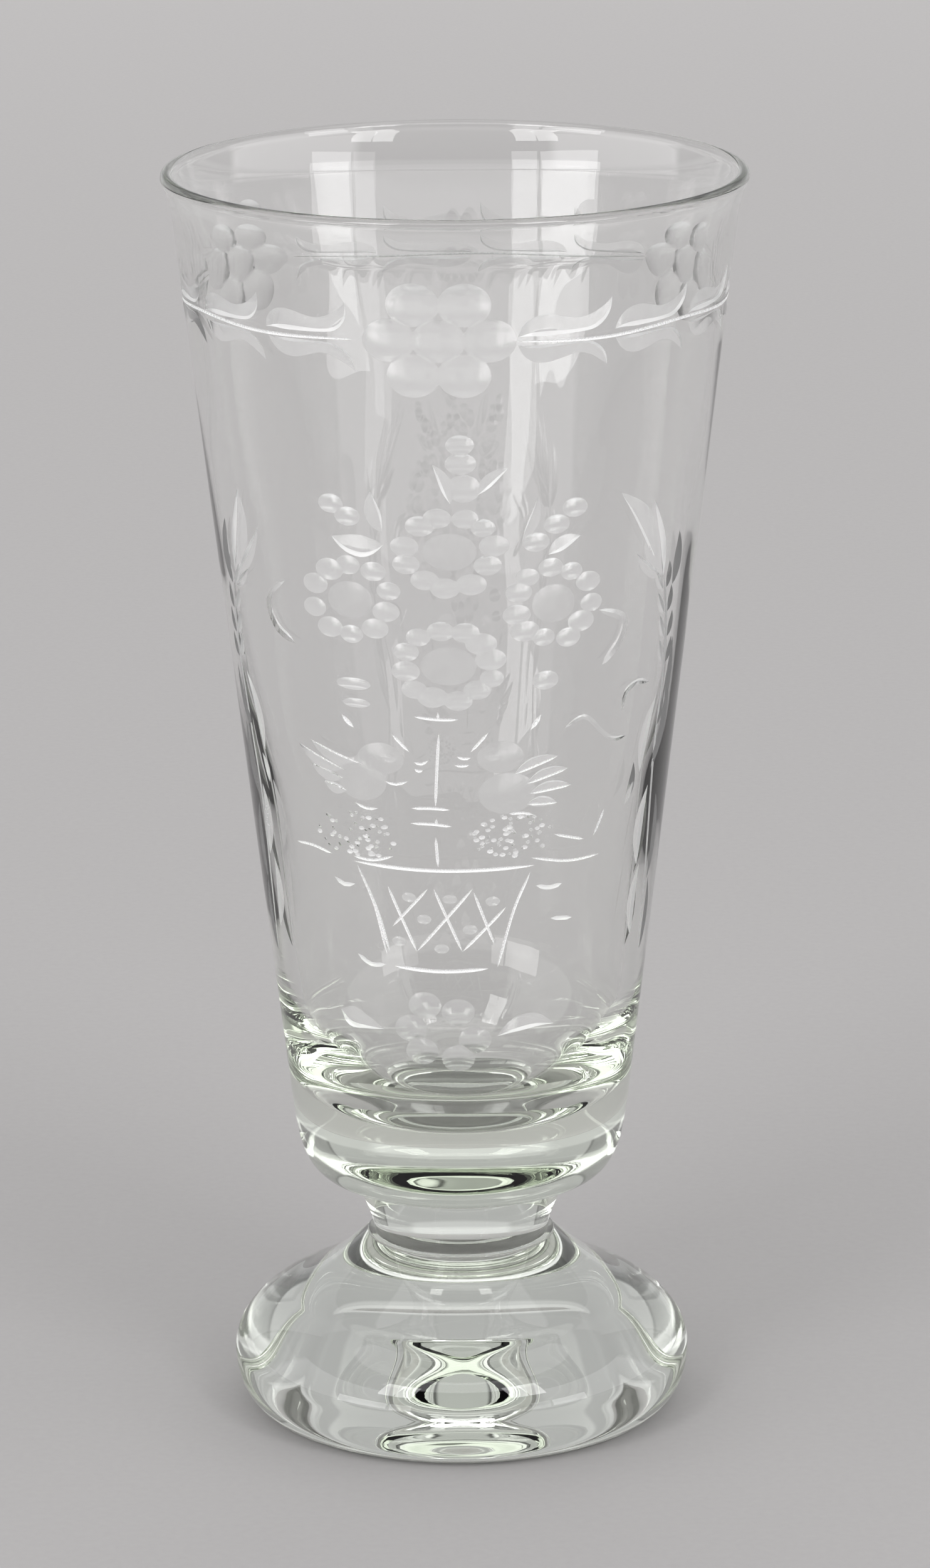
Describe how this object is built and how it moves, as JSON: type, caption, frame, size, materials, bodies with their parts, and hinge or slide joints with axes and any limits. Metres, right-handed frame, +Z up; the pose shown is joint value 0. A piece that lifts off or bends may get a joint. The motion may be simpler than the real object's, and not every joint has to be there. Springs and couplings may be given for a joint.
{
  "type": "footed glass",
  "caption": "Footed drinking glass: a conical, thick-based clear glass beaker with a rounded rim on a short flared stem and a heavy bell-shaped foot.",
  "frame": {"origin": "on the table, under the axis of the glass", "axes": "+Z up along the axis of the glass, from the foot to the rim; +Y away from the viewer of the main ornament, so the ornament faces -Y"},
  "size_m": [0.077, 0.077, 0.17],
  "materials": {
    "clear_glass": "polished, with matt wheel engraving on the bowl"
  },
  "bodies": {
    "root": {"bowl": "clear_glass", "stem": "clear_glass", "foot": "clear_glass"}
  },
  "joints": []
}
